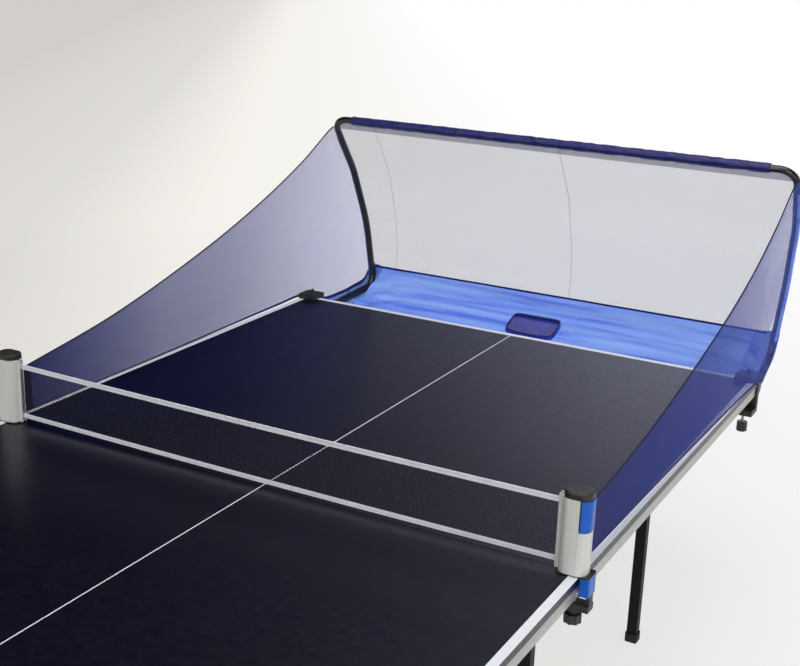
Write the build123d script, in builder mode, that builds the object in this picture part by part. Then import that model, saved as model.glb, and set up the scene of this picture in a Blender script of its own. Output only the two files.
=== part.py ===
from build123d import *
import math
import os

# Ping pong table in two halves, with a clamp-on retractable net and a ball-catch net at the far end.
# X runs across the table, Y along it towards the catch net, Z up from the floor. Millimetres.
os.makedirs("parts", exist_ok=True)

# Playing top
half_length = 1370.0
table_width = 1525.0
table_height = 760.0
top_thickness = 18.0
top_corner_radius = 6.0
joint_gap = 2.0

# Apron rails under each half
rail_width = 20.0
rail_height = 30.0
rail_wall = 1.5
rail_inset = 3.0

# Plates and bolts that join the halves
joining_plate_size = (60.0, 60.0, 3.0)
joining_plate_spacing = 800.0
joining_bolt_radius = 4.0
joining_bolt_length = 12.0
joining_bolt_head = 5.0
joining_bolt_flats = 7.5

# Folding leg frames
leg_tube = 30.0
leg_wall = 1.5
leg_corner_radius = 3.0
leg_side_inset = 208.5
leg_top_above_pivot = 14.0
end_pivot_drop = 27.0
leg_stack_gap = 8.0
stretcher_tube = 25.0
stretcher_drop = 330.0

# Foot caps
foot_wall = 3.0
foot_height = 28.0
foot_floor = 6.0
foot_corner_radius = 5.0
foot_chamfer = 2.0

# Leg hinge brackets and pivot bolts
bracket_plate_length = 80.0
bracket_plate = 4.0
bracket_cheek = 4.0
bracket_cheek_radius = 20.0
bracket_play = 0.5
pivot_radius = 5.0
bolt_head = 6.0
bolt_flats = 9.0

# Braces, which hang on studs of the legs and slide in the guide plates
brace_arm = 200.0
brace_lean = 45.0
brace_turn_share = 0.5
leg_fold_turn = 90.0
end_guide_room = 84.0
net_guide_room = 65.0
brace_bar_width = 22.0
brace_bar_thickness = 4.0
brace_rod_radius = 5.0
brace_stud_radius = 5.0
brace_side_gap = 2.5
guide_thickness = 3.0
guide_flange = 20.0
guide_margin = 14.0
guide_play = 0.6
slot_steps = 6

# Net posts
post_edge_inset = 17.5
post_width = 60.0
post_depth = 50.0
post_radius = 20.0
post_wall = 2.5
post_height = 159.0
post_lip_length = 12.0
post_lip_thickness = 2.5
post_slot = 8.0
cap_height = 14.0
cap_inset = 1.0
cap_round = 4.0
base_plate = 3.0
base_length = 72.0
base_width = 46.0
base_radius = 8.0

# Release buttons on the posts
button_height = 66.0
button_reach = 15.5
button_proud = 1.5
button_wall = 3.0
button_travel = 3.0
button_play = 0.5

# Net rollers and spindles
roller_radius = 10.0
spindle_radius = 3.0
roller_end_gap = 3.0

# Playing net
net_height = 152.5
tape_height = 12.0
tape_thickness = 2.0
mesh_thickness = 0.8
net_lift = 14.0
net_columns = 50
net_rows = 5
net_strand = 2.0

# Screw clamps of the net posts
block_depth = 22.0
block_width = 40.0
block_height = 40.0
block_radius = 4.0
jaw_bar_thickness = 8.0
jaw_bar_width = 18.0
jaw_width = 30.0
jaw_thickness = 14.0
jaw_reach = 56.0
jaw_drop = 14.0
screw_radius = 4.0
pad_radius = 12.0
pad_thickness = 3.0
pad_boss_radius = 7.0
pad_boss_height = 3.0
neck_radius = 11.0
neck_height = 10.0
knob_radius = 19.0
knob_height = 20.0
knob_lobes = 8
lobe_radius = 4.0
lobe_rise = 2.0
knob_round = 2.0
knob_clear = 3.0

# Corner clamps of the catch net
catch_clamp_edge_inset = 27.5
catch_clamp_width = 60.0
catch_jaw_reach = 42.0
catch_spine = 20.0
catch_jaw_thickness = 16.0
catch_clamp_drop = 36.0
catch_clamp_round = 3.0
catch_knob_radius = 15.0
catch_knob_height = 28.0
catch_screw_length = 73.0
peg_radius = 4.0
peg_height = 12.0
socket_length = 70.0
socket_wall = 4.0
socket_floor = 20.0
socket_end_gap = 1.0

# Catch frame of bent tube, each bend given by its distance outside the table's side edge,
# behind its far end and above its playing surface
frame_tube_radius = 11.0
frame_tube_wall = 1.5
arm_root = (-20.5, 12.0, -67.0)
arm_lower_bend = (-50.5, 370.0, -34.0)
arm_middle_bend = (-26.5, 352.0, 195.0)
arm_upper_bend = (-5.5, 287.0, 390.0)
arm_top_corner = (5.5, 165.0, 576.0)
arm_radii = (45.0, 500.0, 200.0, 50.0)
arm_end_inset = 72.5
spigot_length = 22.0
sleeve_thickness = 2.0

# Catch nets and cloth
net_sheet = 1.0
catch_strand = 5.0
back_net_columns = 20
back_net_rows = (4, 5, 5)
back_net_drop = 5.0
back_net_arm_gap = 10.0
back_net_seam = 2.0
wing_pitch = 42.0
wing_hem = 12.0
wing_seam_radius = 1.5
wing_front = (-13.5, 42.0)
wing_front_heights = (6.0, 120.0)
wing_corner = (7.5, 5.0, -18.0)
wing_top = (7.5, 145.0, 540.0)
wing_edge_clear = (2.3, 6.0)
wing_edge_sag = ((0.243, 0.124), (0.515, 0.343), (0.752, 0.610))
wing_rear_setback = 30.0
wing_arm_gap = 11.0
edge_cord_radius = 2.5
edge_cord_radii = (900.0, 900.0, 900.0)
edge_cord_lift = 4.0
hook_width = 10.0
hook_height = 20.0
trough_arm_gap = 41.0
trough_thickness = 2.0
trough_depths = (18.0, 34.0, 52.0, 34.0, 18.0)
trough_end_drop = 30.0
trough_front = (4.0, -8.0)
trough_gutter = 62.0
trough_ridge = (150.0, -10.0)
trough_ridge_sag = 0.33
trough_fold = (235.0, 14.0)
trough_fold_sag = 0.25
trough_back = (352.0, 36.0)
pocket_half_width = 86.0
pocket_front = 115.0
pocket_depth = 90.0
pocket_bottom = -118.0
pocket_rim = 10.0
pocket_wall = 2.0
cloth_gap = 1.0

# Running and seating clearances
running_gap = 0.05
seat_gap = 0.1
side_gap = 0.7

# Places worked out from the sizes
half_width = table_width / 2
underside_z = table_height - top_thickness
rail_bottom_z = underside_z - rail_height
net_y = -(arm_lower_bend[1] + frame_tube_radius) / 2
far_end_y = net_y + half_length
rail_x = half_width - rail_inset - rail_width / 2
rail_start = joint_gap / 2 + rail_inset
leg_x = half_width - leg_side_inset
end_pivot_z = underside_z - end_pivot_drop
net_pivot_z = end_pivot_z - leg_tube - leg_stack_gap
brace_length = brace_arm / math.sin(math.radians(brace_lean))
brace_span = brace_arm / math.tan(math.radians(brace_lean))
bracket_inner_x = leg_x - leg_tube / 2 - bracket_play - bracket_cheek
brace_x = bracket_inner_x - bolt_head - brace_side_gap
guide_x = brace_x - brace_bar_thickness - brace_side_gap - guide_thickness
halves = (("near", -1), ("far", 1))
sides = (("left", -1), ("right", 1))

# Each leg frame stands at its own distance from the net line and folds towards the middle of its half
leg_stations = []
for half, out in halves:
    end_place = half_length - end_guide_room - brace_span
    net_place = net_guide_room + brace_span
    leg_stations.append((f"{half}_end", net_y + out * end_place, end_pivot_z, -out))
    leg_stations.append((f"{half}_net", net_y + out * net_place, net_pivot_z, out))


def save(builder, name):
    """Label a finished piece and write it to its own file."""
    builder.part.label = name
    export_step(builder.part, f"parts/{name}.step")


def box(low, high, mode=Mode.ADD):
    """A block between two opposite corners."""
    low, high = Vector(low), Vector(high)
    size = high - low
    with Locations((low + high) / 2):
        Box(abs(size.X), abs(size.Y), abs(size.Z), mode=mode)


def rod(start, end, radius, mode=Mode.ADD):
    """A round bar between two points."""
    with BuildSketch(Plane(origin=start, z_dir=Vector(end) - Vector(start))) as section:
        Circle(radius)
    extrude(section.sketch, amount=(Vector(end) - Vector(start)).length, mode=mode)


def hexagon(centre, direction, flats, thickness):
    """A bolt head or nut that stands on a face."""
    with BuildSketch(Plane(origin=centre, z_dir=direction)) as section:
        RegularPolygon(flats, 6, major_radius=False)
    extrude(section.sketch, amount=thickness)


# Playing tops, with their outer corners rounded
for half, out in halves:
    with BuildPart() as top:
        with BuildSketch(Plane.XY.offset(underside_z)) as outline:
            with Locations((0, net_y + out * (half_length + joint_gap / 2) / 2)):
                Rectangle(table_width, half_length - joint_gap / 2)
            fillet(outline.vertices().group_by(Axis.Y)[-1 if out > 0 else 0], top_corner_radius)
        extrude(amount=top_thickness)
    save(top, f"{half}_top")

# Apron of rectangular tube: two side rails along each half and two cross rails between them
for half, out in halves:
    rail_z = rail_bottom_z + rail_height / 2
    with BuildPart() as side_rails:
        for side in (-1, 1):
            start = (side * rail_x, net_y + out * rail_start, rail_z)
            with BuildSketch(Plane(origin=start, x_dir=(1, 0, 0), z_dir=(0, out, 0))):
                Rectangle(rail_width, rail_height)
                Rectangle(rail_width - 2 * rail_wall, rail_height - 2 * rail_wall, mode=Mode.SUBTRACT)
            extrude(amount=half_length - rail_inset - rail_start)
    save(side_rails, f"{half}_side_rails")
    with BuildPart() as cross_rails:
        cross_length = 2 * rail_x - rail_width
        for place in (rail_start + rail_width / 2, half_length - rail_inset - rail_width / 2):
            start = (-cross_length / 2, net_y + out * place, rail_z)
            with BuildSketch(Plane(origin=start, x_dir=(0, 1, 0), z_dir=(1, 0, 0))):
                Rectangle(rail_width, rail_height)
                Rectangle(rail_width - 2 * rail_wall, rail_height - 2 * rail_wall, mode=Mode.SUBTRACT)
            extrude(amount=cross_length)
        for x in (-joining_plate_spacing / 2, joining_plate_spacing / 2):
            y = net_y + out * (rail_start + rail_width / 2)
            hole_radius = joining_bolt_radius + seat_gap
            rod((x, y, rail_bottom_z), (x, y, rail_bottom_z + rail_wall), hole_radius, Mode.SUBTRACT)
    save(cross_rails, f"{half}_cross_rails")

# Joining plates, bolted under the two cross rails that meet at the net line
plate_low_z = rail_bottom_z - joining_plate_size[2]
bolt_places = []
with BuildPart() as joining_plates:
    for x in (-joining_plate_spacing / 2, joining_plate_spacing / 2):
        half_x, half_y = joining_plate_size[0] / 2, joining_plate_size[1] / 2
        box((x - half_x, net_y - half_y, plate_low_z), (x + half_x, net_y + half_y, rail_bottom_z))
        for out in (-1, 1):
            bolt_places.append((x, net_y + out * (rail_start + rail_width / 2)))
    for x, y in bolt_places:
        rod((x, y, plate_low_z), (x, y, rail_bottom_z), joining_bolt_radius + seat_gap, Mode.SUBTRACT)
save(joining_plates, "joining_plates")

with BuildPart() as joining_bolts:
    for x, y in bolt_places:
        hexagon((x, y, plate_low_z), (0, 0, -1), joining_bolt_flats, joining_bolt_head)
        rod((x, y, plate_low_z), (x, y, plate_low_z + joining_bolt_length), joining_bolt_radius)
save(joining_bolts, "joining_bolts")

# Hinge brackets of the legs: a plate under the top with two cheeks that hold the pivot bolt
cheek_offset = leg_tube / 2 + bracket_play
with BuildPart() as leg_brackets:
    for name, y, pivot_z, fold in leg_stations:
        for x in (-leg_x, leg_x):
            reach = cheek_offset + bracket_cheek
            half_plate = bracket_plate_length / 2
            box(
                (x - reach, y - half_plate, underside_z - bracket_plate),
                (x + reach, y + half_plate, underside_z),
            )
            for cheek in (-1, 1):
                inner, outer = x + cheek * cheek_offset, x + cheek * reach
                box(
                    (inner, y - bracket_cheek_radius, pivot_z),
                    (outer, y + bracket_cheek_radius, underside_z - bracket_plate),
                )
                rod((inner, y, pivot_z), (outer, y, pivot_z), bracket_cheek_radius)
                rod((inner, y, pivot_z), (outer, y, pivot_z), pivot_radius + running_gap, Mode.SUBTRACT)
save(leg_brackets, "leg_brackets")

with BuildPart() as leg_pivot_bolts:
    for name, y, pivot_z, fold in leg_stations:
        for side in (-1, 1):
            outer = side * (leg_x + cheek_offset + bracket_cheek)
            inner = side * bracket_inner_x
            hexagon((outer, y, pivot_z), (side, 0, 0), bolt_flats, bolt_head)
            hexagon((inner, y, pivot_z), (-side, 0, 0), bolt_flats, bolt_head)
            rod((outer, y, pivot_z), (inner, y, pivot_z), pivot_radius)
save(leg_pivot_bolts, "leg_pivot_bolts")

# Leg frames: two square tubes and a stretcher welded between them, with a stud for each brace
for name, y, pivot_z, fold in leg_stations:
    leg_bottom_z = foot_floor
    leg_length = pivot_z + leg_top_above_pivot - leg_bottom_z
    stretcher_z = pivot_z - stretcher_drop
    stud_z = pivot_z - brace_arm
    with BuildPart() as legs:
        with BuildSketch(Plane.XY.offset(leg_bottom_z)):
            with Locations((-leg_x, y), (leg_x, y)):
                RectangleRounded(leg_tube, leg_tube, leg_corner_radius)
        extrude(amount=leg_length)
        with BuildSketch(Plane(origin=(-leg_x, y, stretcher_z), x_dir=(0, 1, 0), z_dir=(1, 0, 0))):
            Rectangle(stretcher_tube, stretcher_tube)
        extrude(amount=2 * leg_x)
        with BuildSketch(Plane.XY.offset(leg_bottom_z)):
            with Locations((-leg_x, y), (leg_x, y)):
                leg_bore = leg_tube - 2 * leg_wall
                RectangleRounded(leg_bore, leg_bore, leg_corner_radius - leg_wall)
        extrude(amount=leg_length, mode=Mode.SUBTRACT)
        with BuildSketch(Plane(origin=(-leg_x, y, stretcher_z), x_dir=(0, 1, 0), z_dir=(1, 0, 0))):
            Rectangle(stretcher_tube - 2 * leg_wall, stretcher_tube - 2 * leg_wall)
        extrude(amount=2 * leg_x, mode=Mode.SUBTRACT)
        for side in (-1, 1):
            face = side * (leg_x - leg_tube / 2)
            rod((face, y, stud_z), (side * (brace_x - brace_bar_thickness), y, stud_z), brace_stud_radius)
            reach = leg_tube / 2
            hole = ((side * (leg_x - reach), y, pivot_z), (side * (leg_x + reach), y, pivot_z))
            rod(*hole, pivot_radius + running_gap, Mode.SUBTRACT)
    save(legs, f"{name}_legs")

    # Rubber foot caps pushed over the ends of the tubes
    with BuildPart() as feet:
        cap_size = leg_tube + 2 * foot_wall
        with BuildSketch(Plane.XY):
            with Locations((-leg_x, y), (leg_x, y)):
                RectangleRounded(cap_size, cap_size, foot_corner_radius)
        extrude(amount=foot_height)
        chamfer(feet.faces().sort_by(Axis.Z)[:2].edges(), foot_chamfer)
        with BuildSketch(Plane.XY.offset(foot_floor)):
            with Locations((-leg_x, y), (leg_x, y)):
                seat = leg_tube + 2 * seat_gap
                RectangleRounded(seat, seat, leg_corner_radius)
        extrude(amount=foot_height, mode=Mode.SUBTRACT)
    save(feet, f"{name}_feet")

    # Brace: a flat bar on each leg's stud, joined at the top by the rod that runs in the guides
    with BuildPart() as brace:
        stud = Vector(0, y, stud_z)
        top_pin = stud + Vector(0, -fold * brace_span, brace_arm)
        lean = (top_pin - stud).normalized()
        for side in (-1, 1):
            middle = (stud + top_pin) / 2 + Vector(side * brace_x, 0, 0)
            with BuildSketch(Plane(origin=middle, x_dir=lean, z_dir=(-side, 0, 0))):
                SlotCenterToCenter(brace_length, brace_bar_width)
                with Locations((-brace_length / 2, 0)):
                    Circle(brace_stud_radius + running_gap, mode=Mode.SUBTRACT)
            extrude(amount=brace_bar_thickness)
        rod(top_pin - Vector(brace_x, 0, 0), top_pin + Vector(brace_x, 0, 0), brace_rod_radius)
    save(brace, f"{name}_brace")


def slot_edge(shift):
    """Points of the rod's path in a guide, or of a line beside it, for each step of the leg's fold."""
    points = []
    for step in range(slot_steps + 1):
        turn = math.radians(leg_fold_turn * step / slot_steps)
        lean = math.radians(brace_lean) - brace_turn_share * turn
        along = brace_length * math.cos(lean) - brace_arm * math.sin(turn)
        up = brace_length * math.sin(lean) - brace_arm * math.cos(turn)
        run = brace_turn_share * brace_length * math.sin(lean) - brace_arm * math.cos(turn)
        rise = brace_arm * math.sin(turn) - brace_turn_share * brace_length * math.cos(lean)
        speed = math.hypot(run, rise)
        points.append(Vector(along - shift * rise / speed, up + shift * run / speed))
    return points


# Guide plates: the brace rod follows a curved slot while the leg turns through 90 degrees
# and the brace turns half as far
slot_half_width = brace_rod_radius + guide_play
slot_path = slot_edge(0)
slot_upper, slot_lower = slot_edge(-slot_half_width), slot_edge(slot_half_width)
guide_start = slot_path[-1].X - slot_half_width - guide_margin
guide_end = slot_path[0].X + slot_half_width + guide_margin
guide_low = min(point.Y for point in slot_path) - slot_half_width - guide_margin
with BuildPart() as brace_guides:
    for name, y, pivot_z, fold in leg_stations:
        guide_high = underside_z - pivot_z
        for side in (-1, 1):
            inner = side * guide_x
            start = (inner, y, pivot_z)
            with BuildSketch(Plane(origin=start, x_dir=(0, -fold, 0), z_dir=(-fold, 0, 0))):
                with Locations(((guide_start + guide_end) / 2, (guide_low + guide_high) / 2)):
                    Rectangle(guide_end - guide_start, guide_high - guide_low)
                with BuildLine():
                    Spline(*slot_upper)
                    Spline(*slot_lower)
                    for at, before in ((0, 1), (-1, -2)):
                        overrun = (slot_path[at] - slot_path[before]).normalized() * slot_half_width
                        ThreePointArc(slot_upper[at], slot_path[at] + overrun, slot_lower[at])
                make_face(mode=Mode.SUBTRACT)
            extrude(amount=-fold * side * guide_thickness)
            box(
                (inner, y - fold * guide_start, underside_z - guide_thickness),
                (inner - side * guide_flange, y - fold * guide_end, underside_z),
            )
save(brace_guides, "brace_guides")

# Net posts: everything is set out from the post's centre, which stands over the table's edge
post_x = half_width - post_edge_inset
housing_z = table_height + base_plate
housing_top_z = housing_z + post_height
button_z = housing_top_z - button_height
button_inner = post_width / 2 - button_reach
roller_y = net_y + roller_radius + mesh_thickness
jaw_top_z = rail_bottom_z - jaw_drop
block_x = half_width + side_gap
screw_x = rail_x
for side_name, side in sides:
    with BuildPart() as housing:
        with BuildSketch(Plane.XY.offset(housing_z)):
            with Locations((side * post_x, net_y)):
                RectangleRounded(post_width, post_depth, post_radius)
            lip_offset = (post_slot + post_lip_thickness) / 2
            lip_x = post_x - post_width / 2 - post_lip_length / 2 + post_wall
            with Locations((side * lip_x, net_y - lip_offset), (side * lip_x, net_y + lip_offset)):
                Rectangle(post_lip_length, post_lip_thickness)
            with Locations((side * post_x, net_y)):
                inner_radius = post_radius - post_wall
                inner_size = (post_width - 2 * post_wall, post_depth - 2 * post_wall)
                RectangleRounded(*inner_size, inner_radius, mode=Mode.SUBTRACT)
            with Locations((side * lip_x, net_y)):
                Rectangle(2 * post_lip_length, post_slot, mode=Mode.SUBTRACT)
        extrude(amount=post_height)
        window_x = post_x + button_inner - button_travel - button_play
        box(
            (side * window_x, net_y - post_depth, button_z - button_play),
            (side * (post_x + post_width), net_y + post_depth, housing_top_z),
            Mode.SUBTRACT,
        )
    save(housing, f"{side_name}_post_housing")

    # Release button: a saddle that wraps the outer side of the post and pushes inwards
    with BuildPart() as button:
        with BuildSketch(Plane.XY.offset(button_z)):
            with Locations((side * post_x, net_y)):
                proud = 2 * button_proud
                RectangleRounded(post_width + proud, post_depth + proud, post_radius + button_proud)
                hollow = 2 * (button_proud - button_wall)
                hollow_radius = post_radius + button_proud - button_wall
                hollow_size = (post_width + hollow, post_depth + hollow)
                RectangleRounded(*hollow_size, hollow_radius, mode=Mode.SUBTRACT)
            with Locations((side * (post_x + button_inner - post_width), net_y)):
                Rectangle(2 * post_width, 2 * post_depth, mode=Mode.SUBTRACT)
        extrude(amount=button_height - button_play)
    save(button, f"{side_name}_release_button")

    # Net roller on its spindle
    with BuildPart() as roller:
        roller_low = (side * post_x, roller_y, housing_z + roller_end_gap)
        roller_high = (side * post_x, roller_y, housing_top_z - roller_end_gap)
        rod(roller_low, roller_high, roller_radius)
        rod(roller_low, roller_high, spindle_radius + running_gap, Mode.SUBTRACT)
    save(roller, f"{side_name}_net_roller")

    # Blue block outside the table's edge, under the base plate
    with BuildPart() as block:
        with BuildSketch(Plane.XY.offset(table_height - block_height)):
            with Locations((side * (block_x + block_depth / 2), net_y)):
                RectangleRounded(block_depth, block_width, block_radius)
        extrude(amount=block_height)
    save(block, f"{side_name}_clamp_block")

    # Lower jaw: a bar down from the block and an arm under the rail with the screw's hole
    with BuildPart() as jaw:
        outer = side * (block_x + block_depth)
        bar_inner = outer - side * jaw_bar_thickness
        arm_inner = outer - side * jaw_reach
        block_low_z = table_height - block_height
        jaw_low_z = jaw_top_z - jaw_thickness
        for inner, width, low_z, high_z in (
            (bar_inner, jaw_bar_width, jaw_top_z, block_low_z),
            (arm_inner, jaw_width, jaw_low_z, jaw_top_z),
        ):
            box((inner, net_y - width / 2, low_z), (outer, net_y + width / 2, high_z))
        screw_hole = ((side * screw_x, net_y, jaw_low_z), (side * screw_x, net_y, jaw_top_z))
        rod(*screw_hole, screw_radius + running_gap, Mode.SUBTRACT)
    save(jaw, f"{side_name}_clamp_jaw")

with BuildPart() as post_caps:
    with BuildSketch(Plane.XY.offset(housing_top_z)):
        with Locations((-post_x, net_y), (post_x, net_y)):
            RectangleRounded(post_width - 2 * cap_inset, post_depth - 2 * cap_inset, post_radius - cap_inset)
    extrude(amount=cap_height)
    fillet(post_caps.faces().sort_by(Axis.Z)[-2:].edges(), cap_round)
save(post_caps, "post_caps")

with BuildPart() as post_bases:
    base_x = half_width + side_gap + block_depth - base_length / 2
    with BuildSketch(Plane.XY.offset(table_height)):
        with Locations((-base_x, net_y), (base_x, net_y)):
            RectangleRounded(base_length, base_width, base_radius)
    extrude(amount=base_plate)
save(post_bases, "post_bases")

with BuildPart() as roller_spindles:
    for side_name, side in sides:
        rod((side * post_x, roller_y, housing_z), (side * post_x, roller_y, housing_top_z), spindle_radius)
save(roller_spindles, "roller_spindles")


def holed_face(outline, gap_centres, gap_x, gap_y):
    """A flat face with one rectangular opening for each gap between its strands."""
    openings = []
    for x, y in gap_centres:
        corners = [(x + i * gap_x / 2, y + j * gap_y / 2) for i, j in ((-1, -1), (1, -1), (1, 1), (-1, 1))]
        openings.append(Wire.make_polygon(corners))
    return Face(Wire.make_polygon(outline), openings)


# Playing net between the rollers: a white tape above and below the mesh
net_top_z = table_height + net_height
tape_low_z = table_height + net_lift
mesh_low_z = tape_low_z + tape_height
mesh_high_z = net_top_z - tape_height
for tape_name, low_z in (("net_top_tape", mesh_high_z), ("net_bottom_tape", tape_low_z)):
    with BuildPart() as tape:
        tape_end_x = post_x - roller_radius
        box(
            (-tape_end_x, net_y - tape_thickness / 2, low_z),
            (tape_end_x, net_y + tape_thickness / 2, low_z + tape_height),
        )
    save(tape, tape_name)

with BuildPart() as net_mesh:
    mesh_height = mesh_high_z - mesh_low_z
    middle = (0, net_y + mesh_thickness / 2, (mesh_low_z + mesh_high_z) / 2)
    half_x, half_z = post_x, mesh_height / 2
    column_pitch, row_pitch = 2 * half_x / net_columns, mesh_height / net_rows
    gap_centres = []
    for column in range(net_columns):
        for row in range(net_rows):
            gap_centres.append(((column + 0.5) * column_pitch - half_x, (row + 0.5) * row_pitch - half_z))
    outline = [(-half_x, -half_z), (half_x, -half_z), (half_x, half_z), (-half_x, half_z)]
    with BuildSketch(Plane(origin=middle, x_dir=(1, 0, 0), z_dir=(0, -1, 0))):
        add(holed_face(outline, gap_centres, column_pitch - net_strand, row_pitch - net_strand))
    extrude(amount=mesh_thickness)
save(net_mesh, "net_mesh")


def clamp_pad(name, x, y):
    """Swivel pad that presses against the underside of a rail."""
    with BuildPart() as pad:
        low_z = rail_bottom_z - pad_thickness
        rod((x, y, low_z), (x, y, rail_bottom_z), pad_radius)
        rod((x, y, low_z - pad_boss_height), (x, y, low_z), pad_boss_radius)
    save(pad, name)


def clamp_screw(name, x, y, knob_top_z, radius, height, neck):
    """Screw from the pad's boss down through its jaw, with a lobed hand knob."""
    with BuildPart() as screw:
        rod((x, y, knob_top_z), (x, y, rail_bottom_z - pad_thickness - pad_boss_height), screw_radius)
        if neck:
            rod((x, y, knob_top_z), (x, y, knob_top_z + neck), neck_radius)
        with BuildSketch(Plane.XY.offset(knob_top_z - height)):
            with Locations((x, y)):
                Circle(radius - lobe_rise)
                with PolarLocations(radius - lobe_radius, knob_lobes):
                    Circle(lobe_radius)
        extrude(amount=height)
        fillet(screw.faces().sort_by(Axis.Z)[0].edges(), knob_round)
    save(screw, name)


knob_top_z = jaw_top_z - jaw_thickness - knob_clear - neck_height
for side_name, side in sides:
    clamp_pad(f"{side_name}_clamp_pad", side * screw_x, net_y)
    screw_name = f"{side_name}_clamp_screw"
    clamp_screw(screw_name, side * screw_x, net_y, knob_top_z, knob_radius, knob_height, neck_height)


def frame_point(place, side):
    """A bend of the catch frame, on the left (-1) or right (1) side."""
    beyond, behind, above = place
    return Vector(side * (half_width + beyond), far_end_y + behind, table_height + above)


# Corner clamps that hold the catch frame to the far end, each with a socket for its arm
catch_clamp_x = half_width - catch_clamp_edge_inset
catch_screw_y = far_end_y - rail_inset - rail_width / 2
catch_jaw_top_z = rail_bottom_z - catch_clamp_drop
for side_name, side in sides:
    root = frame_point(arm_root, side)
    arm_lean = (frame_point(arm_lower_bend, side) - root).normalized()
    x = side * catch_clamp_x
    with BuildPart() as clamp:
        front_y = far_end_y - catch_jaw_reach
        spine_y = far_end_y + side_gap
        back_y = spine_y + catch_spine
        high_z = table_height + catch_jaw_thickness
        low_z = catch_jaw_top_z - catch_jaw_thickness
        with BuildSketch(Plane(origin=(x, 0, 0), x_dir=(0, 1, 0), z_dir=(1, 0, 0))):
            with BuildLine():
                Polyline(
                    (front_y, table_height),
                    (spine_y, table_height),
                    (spine_y, catch_jaw_top_z),
                    (front_y, catch_jaw_top_z),
                    (front_y, low_z),
                    (back_y, low_z),
                    (back_y, high_z),
                    (front_y, high_z),
                    close=True,
                )
            make_face()
        extrude(amount=catch_clamp_width / 2, both=True)
        outer_edges = clamp.faces().sort_by(Axis.Y)[-1].edges().filter_by(Axis.X)
        fillet(outer_edges, catch_clamp_round)
        peg_y = far_end_y - peg_radius
        rod((x, peg_y, high_z), (x, peg_y, high_z + peg_height), peg_radius)
        rod(root, root + arm_lean * socket_length, frame_tube_radius + socket_wall)
        bore_start = root + arm_lean * socket_floor
        rod(bore_start, root + arm_lean * socket_length, frame_tube_radius + seat_gap, Mode.SUBTRACT)
        screw_hole = ((x, catch_screw_y, low_z), (x, catch_screw_y, catch_jaw_top_z))
        rod(*screw_hole, screw_radius + running_gap, Mode.SUBTRACT)
    save(clamp, f"{side_name}_catch_clamp")

    clamp_pad(f"{side_name}_catch_pad", x, catch_screw_y)
    catch_knob_z = rail_bottom_z - pad_thickness - pad_boss_height - catch_screw_length
    screw_name = f"{side_name}_catch_screw"
    clamp_screw(screw_name, x, catch_screw_y, catch_knob_z, catch_knob_radius, catch_knob_height, 0)

    # Bent arm from the socket up to the end of the top tube
    arm_start = root + arm_lean * (socket_floor + socket_end_gap)
    corner = frame_point(arm_top_corner, side)
    arm_end = Vector(side * (half_width - arm_end_inset), corner.Y, corner.Z)
    bends = [frame_point(place, side) for place in (arm_lower_bend, arm_middle_bend, arm_upper_bend)]
    with BuildPart() as arm:
        with BuildLine() as arm_path:
            FilletPolyline(arm_start, *bends, corner, arm_end, radius=arm_radii)
        with BuildSketch(Plane(origin=arm_start, z_dir=arm_lean)):
            Circle(frame_tube_radius)
            Circle(frame_tube_radius - frame_tube_wall, mode=Mode.SUBTRACT)
        sweep(path=arm_path.wires()[0])
    save(arm, f"{side_name}_catch_arm")

# Straight top tube with a reduced spigot in each arm, and the cloth sleeve round it
top_end_x = half_width - arm_end_inset
top_y = far_end_y + arm_top_corner[1]
top_z = table_height + arm_top_corner[2]
with BuildPart() as top_tube:
    rod((-top_end_x, top_y, top_z), (top_end_x, top_y, top_z), frame_tube_radius)
    spigot_x = top_end_x + spigot_length
    spigot_radius = frame_tube_radius - frame_tube_wall - seat_gap
    rod((-spigot_x, top_y, top_z), (spigot_x, top_y, top_z), spigot_radius)
    rod((-spigot_x, top_y, top_z), (spigot_x, top_y, top_z), spigot_radius - frame_tube_wall, Mode.SUBTRACT)
save(top_tube, "catch_top_tube")

with BuildPart() as sleeve:
    sleeve_bore = frame_tube_radius + seat_gap
    rod((-top_end_x, top_y, top_z), (top_end_x, top_y, top_z), sleeve_bore + sleeve_thickness)
    rod((-top_end_x, top_y, top_z), (top_end_x, top_y, top_z), sleeve_bore, Mode.SUBTRACT)
save(sleeve, "top_sleeve")


def inside(point, outline):
    """Whether a point lies within an outline: a line to one side crosses it an odd number of times."""
    crossings = 0
    for (x0, y0), (x1, y1) in zip(outline, outline[1:] + outline[:1]):
        if (y0 > point[1]) != (y1 > point[1]):
            crossings += point[0] < x0 + (x1 - x0) * (point[1] - y0) / (y1 - y0)
    return crossings % 2 == 1


def net_panel(plane, outline, pitch_x, pitch_y, hem, middle=(0, 0)):
    """A thin panel on a plane, with one opening for each whole gap between its strands."""
    across = [point[0] for point in outline]
    upward = [point[1] for point in outline]
    columns = int((max(across) - min(across)) / pitch_x) + 1
    rows = int((max(upward) - min(upward)) / pitch_y) + 1
    gap_x, gap_y = pitch_x - catch_strand, pitch_y - catch_strand
    gaps = []
    for column in range(-columns, columns + 1):
        for row in range(-rows, rows + 1):
            x, y = middle[0] + column * pitch_x, middle[1] + row * pitch_y
            reach_x, reach_y = gap_x / 2 + hem, gap_y / 2 + hem
            corners = [(x + i * reach_x, y + j * reach_y) for i in (-1, 1) for j in (-1, 1)]
            if all(inside(corner, outline) for corner in corners):
                gaps.append((x, y))
    with BuildSketch(plane) as sheet:
        add(holed_face(outline, gaps, gap_x, gap_y))
    extrude(sheet.sketch, amount=net_sheet / 2, both=True)


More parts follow.
